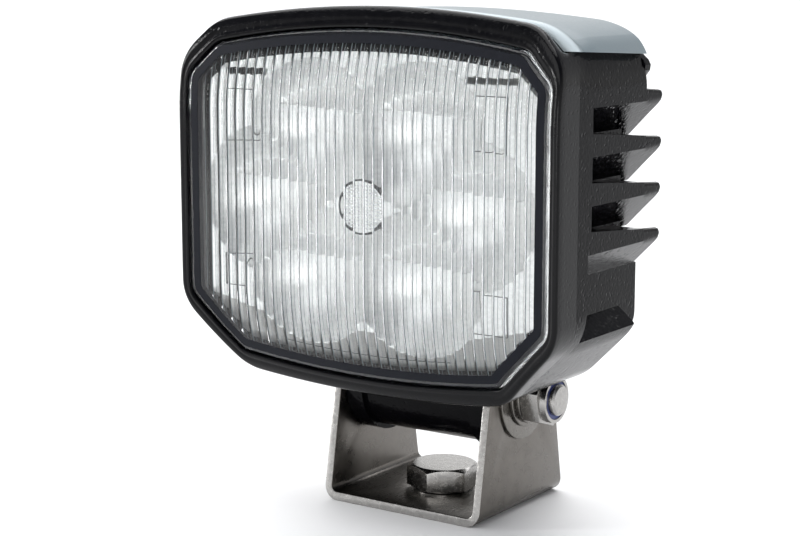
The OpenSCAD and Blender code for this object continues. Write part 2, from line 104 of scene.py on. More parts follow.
def finish(name, colour, rough, metal=0.0, spec=0.5, shade=0.12, grain=900, stretch=(1, 1, 1),
           rough_span=0.06, bump=0.05, bump_scale=1400):
    """A painted, moulded or metal finish whose colour, roughness and relief vary a little."""
    mat = bpy.data.materials.new(name)
    mat.use_nodes = True
    nodes, wires, skin = links(mat)
    coord = nodes.new("ShaderNodeTexCoord")
    grains = noise(nodes, wires, coord, grain, stretch=stretch)
    mix = nodes.new("ShaderNodeMix")
    mix.data_type = "RGBA"
    mix.inputs["A"].default_value = (*[c * (1 - shade) for c in colour], 1)
    mix.inputs["B"].default_value = (*[min(1, c * (1 + shade)) for c in colour], 1)
    wires.new(ramp(nodes, wires, grains.outputs["Fac"], 0, 1), mix.inputs["Factor"])
    wires.new(mix.outputs["Result"], skin.inputs["Base Color"])
    skin.inputs["Metallic"].default_value = metal
    skin.inputs["Specular IOR Level"].default_value = spec
    wires.new(ramp(nodes, wires, grains.outputs["Fac"], rough - rough_span, rough + rough_span),
              skin.inputs["Roughness"])
    relief = noise(nodes, wires, coord, bump_scale, stretch=stretch)
    lift = nodes.new("ShaderNodeBump")
    lift.inputs["Strength"].default_value = bump
    lift.inputs["Distance"].default_value = RELIEF_DEPTH
    wires.new(relief.outputs["Fac"], lift.inputs["Height"])
    wires.new(lift.outputs["Normal"], skin.inputs["Normal"])
    return mat


def hammered(name, colour, rough, spec, cell, strength, depth):
    """A glossy textured powder coat: smooth cells with fine noise on them."""
    mat = finish(name, colour, rough, spec=spec, shade=0.2, grain=500, rough_span=0.05, bump=0.0)
    nodes, wires, skin = links(mat)
    coord = nodes.new("ShaderNodeTexCoord")
    warp = noise(nodes, wires, coord, 420, detail=2.0)
    cells = nodes.new("ShaderNodeTexVoronoi")
    cells.feature = "SMOOTH_F1"
    cells.inputs["Scale"].default_value = cell
    cells.inputs["Smoothness"].default_value = 0.6
    shift = nodes.new("ShaderNodeMix")
    shift.data_type = "VECTOR"
    shift.inputs["Factor"].default_value = 0.002
    wires.new(coord.outputs["Object"], shift.inputs["A"])
    wires.new(warp.outputs["Color"], shift.inputs["B"])
    wires.new(shift.outputs["Result"], cells.inputs["Vector"])
    fine = noise(nodes, wires, coord, cell * 1.7, detail=1.5)
    add = nodes.new("ShaderNodeMath")
    add.operation = "ADD"
    wires.new(ramp(nodes, wires, cells.outputs["Distance"], 0, 1, 0.05, 0.3), add.inputs[0])
    wires.new(ramp(nodes, wires, fine.outputs["Fac"], 0, 0.4), add.inputs[1])
    lift = nodes.new("ShaderNodeBump")
    lift.inputs["Strength"].default_value = strength
    lift.inputs["Distance"].default_value = depth
    wires.new(add.outputs["Value"], lift.inputs["Height"])
    wires.new(lift.outputs["Normal"], skin.inputs["Normal"])
    return mat


def paint_front_highlight(mat, colour, y0, y1):
    """Painted highlight: let the base colour run over into another, lighter one towards the front of the
    piece.
    """
    nodes, wires, skin = links(mat)
    coord = nodes.new("ShaderNodeTexCoord")
    axes = nodes.new("ShaderNodeSeparateXYZ")
    wires.new(coord.outputs["Object"], axes.inputs["Vector"])
    span = nodes.new("ShaderNodeMapRange")
    span.inputs["From Min"].default_value = y0 * MM
    span.inputs["From Max"].default_value = y1 * MM
    wires.new(axes.outputs["Y"], span.inputs["Value"])
    mix = nodes.new("ShaderNodeMix")
    mix.data_type = "RGBA"
    mix.inputs["A"].default_value = (*colour, 1)
    wires.new(skin.inputs["Base Color"].links[0].from_socket, mix.inputs["B"])
    wires.new(span.outputs["Result"], mix.inputs["Factor"])
    wires.new(mix.outputs["Result"], skin.inputs["Base Color"])
    return mat


def clear(name, colour, rough, ior):
    """A transparent material, with the faint relief of a moulded part."""
    mat = finish(name, colour, rough, shade=0.01, rough_span=rough / 2, bump=0.02, bump_scale=200)
    skin = mat.node_tree.nodes["Principled BSDF"]
    skin.inputs["Transmission Weight"].default_value = 1.0
    skin.inputs["IOR"].default_value = ior
    skin.inputs["Specular IOR Level"].default_value = 0.07
    return mat


BRUSH = (1, 1, 14)
MATERIALS = {
    "bolt_steel": finish("bolt_steel", (0.37, 0.362, 0.35), 0.24, 1, bump=0.12, bump_scale=900),
    "bracket_steel": finish("bracket_steel", (0.15, 0.14, 0.128), 0.3, 1, stretch=(14, 1, 1), grain=260,
                            shade=0.1, bump=0.15, bump_scale=500),
    "washer_steel": finish("washer_steel", (0.17, 0.162, 0.15), 0.24, 1, bump=0.1),
    "sleeve_steel": finish("sleeve_steel", (0.55, 0.55, 0.55), 0.3, 1, stretch=BRUSH),
    "blue_nylon": finish("blue_nylon", (0.02, 0.035, 0.16), 0.4),
    "black_coat": hammered("black_coat", (0.002, 0.002, 0.0026), 0.12, 0.07, 700, 0.3, 0.0002),
    "grey_coat": finish("grey_coat", (0.18, 0.22, 0.24), 0.36, shade=0.06, grain=1500, bump=0.25,
                        bump_scale=1800),
    "clear_lens": clear("clear_lens", (0.97, 0.985, 0.985), 0.01, 1.46),
    "seal_rubber": finish("seal_rubber", (0.006, 0.007, 0.0105), 0.4, spec=0.1),
    "mirror_metal": finish("mirror_metal", (0.84, 0.84, 0.835), 0.38, 1, shade=0.1, grain=1100, bump=0.6,
                           bump_scale=1100),
    "cap_grey": finish("cap_grey", (0.7, 0.7, 0.71), 0.25, 0.85),
    "led_phosphor": finish("led_phosphor", (0.75, 0.7, 0.5), 0.3),
    "white_board": finish("white_board", (0.8, 0.8, 0.78), 0.35),
    "pad_pink": finish("pad_pink", (0.6, 0.4, 0.42), 0.8),
    "bare_aluminium": finish("bare_aluminium", (0.36, 0.355, 0.345), 0.35, 1, stretch=BRUSH),
    "lead_red": finish("lead_red", (0.4, 0.03, 0.02), 0.5),
    "green_board": finish("green_board", (0.02, 0.16, 0.06), 0.35),
    "ferrite": finish("ferrite", (0.05, 0.05, 0.055), 0.6),
    "capacitor_sleeve": finish("capacitor_sleeve", (0.03, 0.04, 0.1), 0.35),
    "chip_black": finish("chip_black", (0.02, 0.02, 0.02), 0.5),
    "black_plastic": finish("black_plastic", (0.02, 0.02, 0.022), 0.48),
    "contact_brass": finish("contact_brass", (0.75, 0.56, 0.25), 0.3, 1),
    "membrane_white": finish("membrane_white", (0.8, 0.8, 0.8), 0.9),
}


# ---------------------------------------------------------------- shapes

BOW_STEPS, CORNER_STEPS, WALL_PARTS = 22, 8, 14
FIRST_WALL = BOW_STEPS + 1 + CORNER_STEPS
WALLS = [FIRST_WALL + k * (CORNER_STEPS + 1) for k in range(3)]  # straight stretches in the list of points


def new_object(name, data):
    obj = bpy.data.objects.new(name, data)
    bpy.context.scene.collection.objects.link(obj)
    return obj


def circle(r, parts):
    angles = [2 * math.pi * k / parts for k in range(parts)]
    return [(r * math.cos(a), r * math.sin(a)) for a in angles]


class Outline:
    """The closed outline of the head or the lens: bowed top and bottom, straight sides, cut corners.

    high and cut place the upper and the lower cut corner, top_r and low_r are the radii of the bows,
    and corner is the radius between all of them.
    """

    def __init__(self, node, high, cut, top_r, low_r, corner):
        low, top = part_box(node)
        self.w = top.x / MM
        self.top = top.z / MM
        self.low = low.z / MM
        self.high, self.cut = self.top + high, cut
        self.top_r, self.low_r, self.r = top_r, low_r, corner

    def centres(self):
        """Centres of the four corner arcs on the right side, from below to above."""
        root = math.sqrt(2)
        k = self.cut - self.r * root + self.low + self.low_r
        x1 = (k - math.sqrt(2 * (self.low_r - self.r) ** 2 - k * k)) / 2
        z1 = x1 - self.cut + self.r * root
        x2 = self.w - self.r
        z2 = x2 - self.cut + self.r * root
        z3 = self.high - self.r * root - x2
        m = self.high - self.r * root - self.top + self.top_r
        x4 = (m - math.sqrt(2 * (self.top_r - self.r) ** 2 - m * m)) / 2
        z4 = self.high - self.r * root - x4
        return (x1, z1), (x2, z2), (x2, z3), (x4, z4)

    def half(self, d):
        """The right half, inset by d, from the lowest point to the highest."""
        c1, c2, c3, c4 = self.centres()
        low_c, high_c = self.low + self.low_r, self.top - self.top_r
        a1 = math.degrees(math.atan2(c1[1] - low_c, c1[0]))
        a4 = math.degrees(math.atan2(c4[1] - high_c, c4[0]))
        arcs = [((0, low_c), self.low_r, -90, a1, BOW_STEPS), (c1, self.r, a1, -45, CORNER_STEPS),
                (c2, self.r, -45, 0, CORNER_STEPS), (c3, self.r, 0, 45, CORNER_STEPS),
                (c4, self.r, 45, a4, CORNER_STEPS), ((0, high_c), self.top_r, a4, 90, BOW_STEPS)]
        points = []
        for (cx, cz), r, start, stop, steps in arcs:
            for i in range(steps + 1):
                a = math.radians(start + (stop - start) * i / steps)
                points.append((cx + (r - d) * math.cos(a), cz + (r - d) * math.sin(a)))
        dense = [points[0]]
        for i, (p, q) in enumerate(zip(points, points[1:])):
            parts = WALL_PARTS if i in WALLS else 1
            if math.dist(p, q) < 1e-7 and parts == 1:
                continue
            dense += [(p[0] + (q[0] - p[0]) * k / parts, p[1] + (q[1] - p[1]) * k / parts)
                      for k in range(1, parts + 1)]
        return dense

    def loop(self, d=0.0):
        """The whole outline, inset by d."""
        right = self.half(d)
        left = [(-x, z) for x, z in reversed(right)][1:-1]
        return right + left


HEAD = Outline("housing", 43.4, 3, 290, 290, 12)
BODY = Outline("housing", 43.4, 3, 290, 290, 16.4)  # behind the rim the corners are rounder
LENS = Outline("lens", 41.4, -2, 250, 265, 5)
HEAD.low = BODY.low = LENS.low - 4.5
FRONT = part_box("lens")[0].y / MM
FLAT_LOW, FLAT_HIGH, SWEEP_R = 60.0, 102.0, 52.3


def sweep(z):
    """How far the front lies back at z: flat in the middle, curved above and below it."""
    d = max(z - FLAT_HIGH, FLAT_LOW - z, 0.0)
    return SWEEP_R - math.sqrt(SWEEP_R ** 2 - d * d)


def add_mesh(name, verts, faces, slot, body, replaces=(), angle=None):
    """A piece from points in millimetres; edges above angle stay sharp."""
    mesh = bpy.data.meshes.new(name)
    mesh.from_pydata([(x * MM, y * MM, z * MM) for x, y, z in verts], [], faces)
    mesh.validate()
    obj = new_object(name, mesh)
    for p in mesh.polygons:
        p.use_smooth = True
    if angle:
        mesh.set_sharp_from_angle(angle=math.radians(angle))
    mesh.materials.append(MATERIALS[slot])
    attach(obj, body)
    if replaces:
        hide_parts(*replaces)
    return obj


def loft(loops):
    """Vertices and faces of a skin through loops of equal length."""
    n = len(loops[0])
    verts = [p for loop in loops for p in loop]
    faces = []
    for i in range(len(loops) - 1):
        for j in range(n):
            k = (j + 1) % n
            faces.append((i * n + j, i * n + k, (i + 1) * n + k, (i + 1) * n + j))
    return verts, faces


def front_loop(outline, inset, dy):
    """The outline on the swept front, dy behind it."""
    return [(x, FRONT + dy + sweep(z), z) for x, z in outline.loop(inset)]


def between(a, b, t, dy):
    """The line a share t of the way from outline a to outline b, dy behind the swept front."""
    flat = [(p[0] + (q[0] - p[0]) * t, p[1] + (q[1] - p[1]) * t) for p, q in zip(a, b)]
    return [(x, FRONT + dy + sweep(z), z) for x, z in flat]


# ---------------------------------------------------------------- rim

CUT_Y = -30.2  # the rim ends here and the casting begins
COVER_FRONT, COVER_LOW, LIP_STEP = -28.8, 119.5, 1.5
RIM_LIP = [(0.02, -0.1), (0.06, -0.3), (0.13, -0.43), (0.22, -0.46), (0.3, -0.36), (0.36, -0.34),
           (0.44, -0.5), (0.55, -0.6), (0.66, -0.58)]
RIM_FLANK = [(0.25, 0.0), (0.5, 0.15), (0.75, 0.7), (1.0, LIP_STEP)]


def make_rim():
    """The rim round the lens; above COVER_LOW its flank steps in under the cover's lip."""
    lens, head = LENS.loop(-0.32), HEAD.loop(0)
    loops = [between(lens, head, t, dy) for t, dy in [(0.0, 3.4), (0.0, 0.15)] + RIM_LIP]
    for a in (10, 30, 50, 70, 90):
        s, c = math.sin(math.radians(a)), math.cos(math.radians(a))
        ring = HEAD.loop(0.8 * (1 - s))
        loops.append([(x, FRONT - 0.6 + 0.9 * (1 - c) + sweep(z), z) for x, z in ring])
    edge = loops[-1]
    for t, d in RIM_FLANK:
        loops.append([(q[0], p[1] + (CUT_Y - p[1]) * t, q[1]) if p[2] > COVER_LOW else
                      (p[0], p[1] + (CUT_Y - p[1]) * t, p[2]) for p, q in zip(edge, HEAD.loop(d))])
    verts, faces = loft(loops)
    rim = add_mesh("housing_rim", verts, faces, "black_coat", "head", angle=50)
    rim.data.materials[0] = hammered("black_gloss", (0.002, 0.002, 0.0026), 0.14, 0.16, 700, 0.16, 0.0002)


# ---------------------------------------------------------------- loose solids

def solid(loops):
    """A closed loose mesh through loops of equal length."""
    verts, faces = loft(loops)
    n = len(loops[0])
    faces.append(tuple(range(n)))
    faces.append(tuple(range(len(verts) - 1, len(verts) - 1 - n, -1)))
    mesh = bpy.data.meshes.new("solid")
    mesh.from_pydata([(x * MM, y * MM, z * MM) for x, y, z in verts], [], faces)
    bm = bmesh.new()
    bm.from_mesh(mesh)
    bmesh.ops.recalc_face_normals(bm, faces=bm.faces)
    bm.to_mesh(mesh)
    bm.free()
    return new_object("solid", mesh)


def both_sides(loops):
    """A solid and its mirror image."""
    return [solid(loops), solid([[(-x, y, z) for x, y, z in reversed(loop)] for loop in loops])]


def prism(shape, y0, y1, shape_end=None):
    """A solid between two equal-length XZ polygons at y0 and y1."""
    return solid([[(x, y0, z) for x, z in shape], [(x, y1, z) for x, z in (shape_end or shape)]])


def block(x0, x1, y0, y1, z0, z1):
    return prism([(x0, z0), (x1, z0), (x1, z1), (x0, z1)], y0, y1)


def across(shape, x0, x1):
    """A solid between x0 and x1 with a YZ section."""
    return solid([[(x0, y, z) for y, z in shape], [(x1, y, z) for y, z in shape]])


def flipped(shape):
    return [(-x, z) for x, z in shape]


def take_modifiers(obj):
    """Replace the mesh of an object by the one its modifiers make."""
    bpy.context.view_layer.update()
    mesh = bpy.data.meshes.new_from_object(obj.evaluated_get(bpy.context.evaluated_depsgraph_get()))
    obj.modifiers.clear()
    obj.data = mesh


def join_solids(base, parts, operation):
    """Add loose solids to a solid or cut them out of it, and remove them."""
    for part in parts:
        mod = base.modifiers.new("cut", "BOOLEAN")
        mod.operation = operation
        mod.solver = "MANIFOLD"
        mod.object = part
        take_modifiers(base)
        bpy.data.objects.remove(part)


# ---------------------------------------------------------------- housing and cover

REAR = 3.5  # the rear wall
FIN_LOW, FIN_PITCH, FIN_FRONT_H, FIN_FALL = 72.6, 11.33, 5.4, 0.088
FIN_SECTIONS = ((REAR - 1, 0, 3.1), (REAR + 7.4, 0, 2.4), (REAR + 8.2, 0.35, 2.3), (REAR + 8.7, 0.9, 2.3),
                (REAR + 8.95, 1.7, 2.3))  # y, how far the tip is cut back, height of the top
NOTCH_Y, NOTCH_X, NOTCH_OUT = -23.7, 49.0, 58.5
CHEEK_IN, CHEEK_LOW, CHEEK_R, CHEEK_DEPTH = 45.6, 49.2, 4, 9
CREST_LOW = 113.4
PIVOT_Z, LUG_TOP, LUG_STEPS = 30.5, 45, 40
LUG_R, LUG_HALF, BOSS_R, BOSS_IN, BOSS_OUT = 13.4, 17, 14.6, 16.4, 21.4
LENS_SEAT, RECESS_LOW, RECESS_FOOT = -29.6, 55.8, 48
INSIDE = [(-45.6, 46.4), (45.6, 46.4), (45.6, 112), (38, 119), (-38, 119), (-45.6, 112)]
EAR_POCKET = (-37.6, 37.6, -27, 20, 10, 44)
BODY_RUN, COVER_RUN = 5, 8  # lengths over which the rim's outline runs over into the rounder ones
SWELL, SWELL_TOP, SWELL_RUN, SWELL_OUT, SWELL_UP = 2.8, 129.5, 11.0, 0.75, 0.66
COVER_SEAT, COVER_FALL = -28.9, 0.0506
LIP_HIGHLIGHT_GREY, LIP_HIGHLIGHT_FROM, LIP_HIGHLIGHT_TO = (0.5, 0.57, 0.6), -27.4, -26.4  # painted highlight: the cover's front edge is coloured lighter, for the light its rolled lip catches
SETTLE_TURN = 24  # edges that turn by more than this many degrees are rounded


def notch(i):
    """Sections of the gap under fin i at its front and its rear end."""
    low = FIN_LOW + i * FIN_PITCH
    floor0 = low - FIN_PITCH + FIN_FRONT_H
    shapes = []
    for y in (NOTCH_Y, REAR + 2):
        z = floor0 - FIN_FALL * (y - NOTCH_Y)
        shapes.append([(NOTCH_X, z), (NOTCH_OUT, z), (NOTCH_OUT, low + 2.5), (NOTCH_X, low - 7)])
    return shapes


def make_fin(i):
    """A fin with a rounded tip, as sections from front to back."""
    low = FIN_LOW + i * FIN_PITCH
    loops = []
    for y, cut, top in FIN_SECTIONS:
        tip, high = 56 - cut, low + top - cut * 0.5
        loops.append([(x, y, z) for x, z in (
            (0, low - 7.5), (44.4, low - 7.5), (46.9, low - 9.1 + cut * 0.4),
            (tip - 1.2, low - 1.2 + cut * 0.2), (tip - 0.3, low - 0.1 + cut * 0.2), (tip, low + 0.9),
            (tip, high - 0.9), (tip - 0.3, high - 0.25), (tip - 1.1, high), (48.7, low - 4.4),
            (0, low - 4.4))])
    return both_sides(loops)


def make_cheeks():
    """Plates that carry the wall of the lower recess on behind the rear wall."""
    top, low, r, back = FIN_LOW - 7, CHEEK_LOW, CHEEK_R, REAR + CHEEK_DEPTH
    side = [(REAR - 1, top), (REAR - 1, low)] + [
        (back - r + r * math.sin(math.radians(a)), low + r - r * math.cos(math.radians(a)))
        for a in range(0, 91, 15)] + [(back, top)]
    return [across(side, x0, x1) for x0, x1 in ((CHEEK_IN, NOTCH_X), (-NOTCH_X, -CHEEK_IN))]


def make_crest():
    """The rib that runs behind the cover from shoulder to shoulder."""
    rib = prism(HEAD.loop(2.4), REAR - 1, REAR + 2.95)
    hollow = [prism(HEAD.loop(6), REAR - 2, REAR + 4), block(-70, 70, REAR - 2, REAR + 4, 0, CREST_LOW)]
    join_solids(rib, hollow, "DIFFERENCE")
    shape = [(44, 119), (44, CREST_LOW), (48, 107), (54.6, 112.8), (55.4, 113.9), (55.6, 115.2), (55, 116.4),
             (53.2, 118)]
    ends = [(REAR - 1, 0), (REAR + 1.8, 0), (REAR + 2.6, 0.5), (REAR + 2.95, 1.4)]
    return [rib] + both_sides([[(x - d, y, z - d * 0.3) for x, z in shape] for y, d in ends])


def disc_shape(r):
    """Side section of the lug: round below, straight up into the body."""
    low = [(r * math.cos(math.radians(a)), PIVOT_Z + r * math.sin(math.radians(a)))
           for a in [180 + 205 * k / LUG_STEPS for k in range(LUG_STEPS + 1)]]
    return low + [(5, LUG_TOP), (-r, LUG_TOP)]


def body_loop(d, y):
    """The casting's outline at y, inset by d: the head's outline at the front, rounder behind it."""
    share = min(1, (y - CUT_Y) / BODY_RUN)
    return [(a[0] + (b[0] - a[0]) * share, y, a[1] + (b[1] - a[1]) * share)
            for a, b in zip(HEAD.loop(d), BODY.loop(d))]


def cover_loop(d, y):
    """The same line, swelling out over the cover's two shoulders."""
    share = SWELL * min(1, (y - CUT_Y) / COVER_RUN)
    loop = []
    for x, _, z in body_loop(d, y):
        t = min(1, max(0, (SWELL_TOP - z) / SWELL_RUN)) if z > 100 else 0
        push = share * t * t * (3 - 2 * t)
        loop.append((x + math.copysign(SWELL_OUT * push, x), y, z + SWELL_UP * push))
    return loop


def below_cover(z):
    """Everything under the slanting lower edge of the cover."""
    loops = []
    for y in (-40, 20):
        edge = z + (COVER_SEAT - y) * COVER_FALL
        loops.append([(-70, y, edge), (70, y, edge), (70, y, 0), (-70, y, 0)])
    return solid(loops)


def settle(base, name, slot, offset, angle, keep=None):
    """Round the edges of a finished solid and turn it into a piece, left open at its front end y = keep."""
    bm = bmesh.new()
    bm.from_mesh(base.data)
    bmesh.ops.remove_doubles(bm, verts=bm.verts, dist=1e-6)
    bmesh.ops.dissolve_limit(bm, angle_limit=math.radians(0.3), verts=bm.verts, edges=bm.edges)
    turn = math.radians(SETTLE_TURN)
    sharp = [e for e in bm.edges if len(e.link_faces) == 2 and e.calc_face_angle(0) > turn
             and (keep is None or min(v.co.y for v in e.verts) > (keep + 0.3) * MM)]
    bmesh.ops.bevel(bm, geom=sharp, offset=offset * MM, segments=3, profile=0.5, affect="EDGES",
                    clamp_overlap=True)
    if keep is not None:
        bmesh.ops.delete(bm, geom=[f for f in bm.faces if max(v.co.y for v in f.verts) < (keep + 0.05) * MM],
                         context="FACES")
    bm.to_mesh(base.data)
    bm.free()
    base.name = name
    base.data.materials.clear()
    base.data.materials.append(MATERIALS[slot])
    for p in base.data.polygons:
        p.use_smooth = True
        p.material_index = 0
    base.data.set_sharp_from_angle(angle=math.radians(angle))
    mod = base.modifiers.new("even", "WEIGHTED_NORMAL")
    mod.mode = "FACE_AREA_WITH_ANGLE"
    mod.keep_sharp = True
    take_modifiers(base)


def make_casting():
    """The cast body behind the rim: recesses and gaps cut out, fins, crest, cheeks and lug added."""
    front = [(0.0, CUT_Y + (REAR - 0.8 - CUT_Y) * k / 6) for k in range(7)]
    base = solid([body_loop(d, y) for d, y in front + [(0.24, REAR - 0.24), (0.8, REAR)]])
    cutters = [prism(LENS.loop(4.4), CUT_Y - 5, LENS_SEAT), prism(INSIDE, -31, 0), block(*EAR_POCKET)]
    for i in (1, 2, 3):
        near, far = notch(i)
        cutters.append(prism(near, NOTCH_Y, REAR + 2, far))
        cutters.append(prism(flipped(near), NOTCH_Y, REAR + 2, flipped(far)))
    recess = [(NOTCH_OUT, FIN_LOW + 2.5), (NOTCH_X, FIN_LOW - 7), (NOTCH_X, RECESS_LOW),
              (NOTCH_OUT, RECESS_FOOT)]
    cutters += [prism(shape, NOTCH_Y - 1.4, REAR + 2) for shape in (recess, flipped(recess))]
    join_solids(base, cutters, "DIFFERENCE")
    cover = prism(HEAD.loop(-1.5), COVER_SEAT, REAR + 3)
    join_solids(cover, [prism(BODY.loop(2.25), -32, REAR + 4), below_cover(COVER_LOW - 0.1)], "DIFFERENCE")
    step = prism(HEAD.loop(-1.5), CUT_Y - 1, COVER_FRONT + 0.1)
    join_solids(step, [prism(HEAD.loop(LIP_STEP), CUT_Y - 2, REAR), below_cover(COVER_LOW)], "DIFFERENCE")
    join_solids(base, [cover, step], "DIFFERENCE")
    parts = make_cheeks() + make_crest()
    for i in range(4):
        parts += make_fin(i)
    parts += [across(disc_shape(BOSS_R), side * BOSS_IN, side * BOSS_OUT) for side in (-1, 1)]
    parts.append(across(disc_shape(LUG_R), -LUG_HALF, LUG_HALF))
    join_solids(base, parts, "UNION")
    settle(base, "housing_cast", "black_coat", 0.5, 38, CUT_Y)
    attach(base, "head")
    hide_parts("housing")


def make_cover():
    """The cover's shell: a rolled lip along its front edge, the skin a little lower behind it."""
    front, back, skin = COVER_FRONT, REAR - 0.2, 0.8
    edge = [(1.6, front), (1.0, front + 0.15), (0.55, front + 0.5), (0.25, front + 1), (0.08, front + 1.7),
            (0.15, front + 2.3), (0.45, front + 2.9), (skin, front + 3.4)]
    flat = [(skin, front + 4 + (back - 5 - front) * k / 6) for k in range(7)]
    base = solid([cover_loop(d, y) for d, y in edge + flat + [(skin + 0.3, back - 0.3), (skin + 1, back)]])
    join_solids(base, [prism(BODY.loop(2.2), -40, REAR + 4), below_cover(COVER_LOW)], "DIFFERENCE")
    settle(base, "cover_shell", "grey_coat", 0.3, 30)
    # painted highlight: the cover's lip is coloured lighter towards its front edge
    base.data.materials[0] = paint_front_highlight(MATERIALS["grey_coat"].copy(), LIP_HIGHLIGHT_GREY, LIP_HIGHLIGHT_FROM, LIP_HIGHLIGHT_TO)
    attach(base, "head")
    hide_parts("top_cover")


make_casting()
make_cover()
make_rim()


# ---------------------------------------------------------------- lens

FLUTES, FLUTE_LEFT, FLUTE_RIGHT = 35, -49.7, 49.7
FLUTE_PITCH = (FLUTE_RIGHT - FLUTE_LEFT) / FLUTES
FLUTE_STEPS, FLUTE_ROWS, FLUTE_H, FLUTE_INSET = 10, 44, 0.45, 3.5
# width and place of the grey strips that paint the shade of the lens's creases
SHADE_LINE_W, FINE_SHADE_AT, FINE_SHADE_SHARE = 0.27, 0.36, 0.45
LENS_T, LENS_RINGS, FACE_INSET = 2.3, 26, 1.2
LENS_EDGE = [(FLUTE_INSET, LENS_T), (0.25, LENS_T), (0.0, LENS_T - 0.25), (0, 1.0), (0.12, 0.5), (0.4, 0.17),
             (0.85, 0.02), (FACE_INSET, 0.0)]


def z_span(outline, d, x):
    """Lowest and highest point of the outline at x."""
    points = outline.half(d)
    hits = []
    for (x0, z0), (x1, z1) in zip(points, points[1:]):
        if min(x0, x1) - 1e-6 <= abs(x) <= max(x0, x1) + 1e-6 and abs(x1 - x0) > 1e-9:
            hits.append(z0 + (z1 - z0) * (abs(x) - x0) / (x1 - x0))
    return min(hits), max(hits)


def flute_column(x, lift):
    """Points up the inner face of the lens at x, lift in front of it."""
    low, high = z_span(LENS, FLUTE_INSET, x)
    column = []
    for i in range(FLUTE_ROWS + 1):
        z = low + (high - low) * i / FLUTE_ROWS
        column.append((x, FRONT + LENS_T + sweep(z) - lift, z))
    return column


def flute_faces(first, strips):
    """Faces between neighbouring columns, the first of which starts at point first."""
    rows = FLUTE_ROWS + 1
    corners = [first + i * rows + j for i in range(strips) for j in range(FLUTE_ROWS)]
    return [(a, a + 1, a + rows + 1, a + rows) for a in corners]


def make_lens():
    """The clear body: rounded edge, front face, and the flutes on the inside."""
    loops = [front_loop(LENS, inset, dy) for inset, dy in LENS_EDGE]
    ring = LENS.loop(FACE_INSET)
    mid_z = (LENS.top + LENS.low) / 2
    for k in range(1, LENS_RINGS):
        s = 1 - k / LENS_RINGS
        shrunk = [(x * s, mid_z + (z - mid_z) * s) for x, z in ring]
        loops.append([(x, FRONT + sweep(z), z) for x, z in shrunk])
    verts, faces = loft(loops)
    n = len(ring)
    last = len(verts) - n
    verts.append((0, FRONT, mid_z))
    faces += [(last + j, last + (j + 1) % n, len(verts) - 1) for j in range(n)]
    for f in range(FLUTES):
        first = len(verts)
        for i in range(FLUTE_STEPS + 1):
            u = i / FLUTE_STEPS
            x = FLUTE_LEFT + (f + u) * FLUTE_PITCH
            verts += flute_column(x, -FLUTE_H * (1 - (2 * u - 1) ** 2))
        faces += flute_faces(first, FLUTE_STEPS)
    add_mesh("lens_clear", verts, faces, "clear_lens", "head", replaces=["lens"], angle=60)


def make_band():
    """The dark printed band round the edge of the lens."""
    loops = [front_loop(LENS, inset, -0.05) for inset in (1.3, 1.9, 2.6, 3.45)]
    verts, faces = loft(loops)
    add_mesh("lens_band", verts, faces, "seal_rubber", "head")


def make_crease_shade():
    """Painted shade: grey strips along the creases between the flutes, and a finer one in each flute, where
    the fluted lens looks darker.
    """
    verts, faces = [], []
    lines = [(FLUTE_LEFT + f * FLUTE_PITCH, SHADE_LINE_W) for f in range(1, FLUTES)]
    lines += [(FLUTE_LEFT + (f + FINE_SHADE_AT) * FLUTE_PITCH, SHADE_LINE_W * FINE_SHADE_SHARE) for f in range(FLUTES)]
    for x, width in lines:
        first = len(verts)
        for side in (-width / 2, width / 2):
            verts += flute_column(x + side, 0.03)
        faces += flute_faces(first, 1)
    add_mesh("lens_crease_shade", verts, faces, "grey_coat", "head")


make_lens()
make_band()
make_crease_shade()


# ---------------------------------------------------------------- reflector

CUPS = [(-16, 99.3), (16, 99.3), (-30.3, 81), (30.3, 81), (-16, 62.7), (16, 62.7)]
CUP_R, HOLE_R, CUP_FLOOR = 18.6, 1.4, -24.0
CUP_RIM_DY, PLATE_DY = 3.3, 3.4
VISOR_W, VISOR_LOW, VISOR_HIGH, VISOR_Y = 12.5, 4.4, 13.0, -30.5
GRID_COLUMNS, GRID_ROWS, GRID_X, GRID_INSET, GRID_TOP = 240, 190, 48.7, 4.5, 1.3
SLOT_IN, SLOT_OUT, SLOT_LOW, SLOT_HIGH = 29.5, 43, 111.6, 113.2  # the two dark slots near the top
FOOT_Z, FOOT_TURN, FOOT_RISE = 50.5, 24.6, 0.23
LINE_W, LINE_INSET, LINE_STEP, LINE_FRONT = 0.22, 6.4, 0.8, 0.12
LINE_BOXES = ((31, 41, 96, 109), (-42, -34, 95, 108), (31, 41.5, 53.6, 63), (-43, -36, 58, 66))


def cup_depth(x, z):
    """Depth of the reflector's skin and whether the point lies in a cup."""
    plate = FRONT + PLATE_DY + sweep(z)
    best, inside = plate, False
    for cx, cz in CUPS:
        r2 = (x - cx) ** 2 + (z - cz) ** 2
        rim = FRONT + CUP_RIM_DY
        y = CUP_FLOOR + (rim - CUP_FLOOR) * (r2 - HOLE_R ** 2) / (CUP_R ** 2 - HOLE_R ** 2)
        y = min(y, CUP_FLOOR)
        rise = (z - cz - VISOR_LOW - 0.06 * (cx - x)) / (VISOR_HIGH - VISOR_LOW)
        if abs(x - cx) < VISOR_W and 0 < rise < 1:
            y = min(y, VISOR_Y + rise * 6)
        if y > best:
            best, inside = y, True
    return best, inside


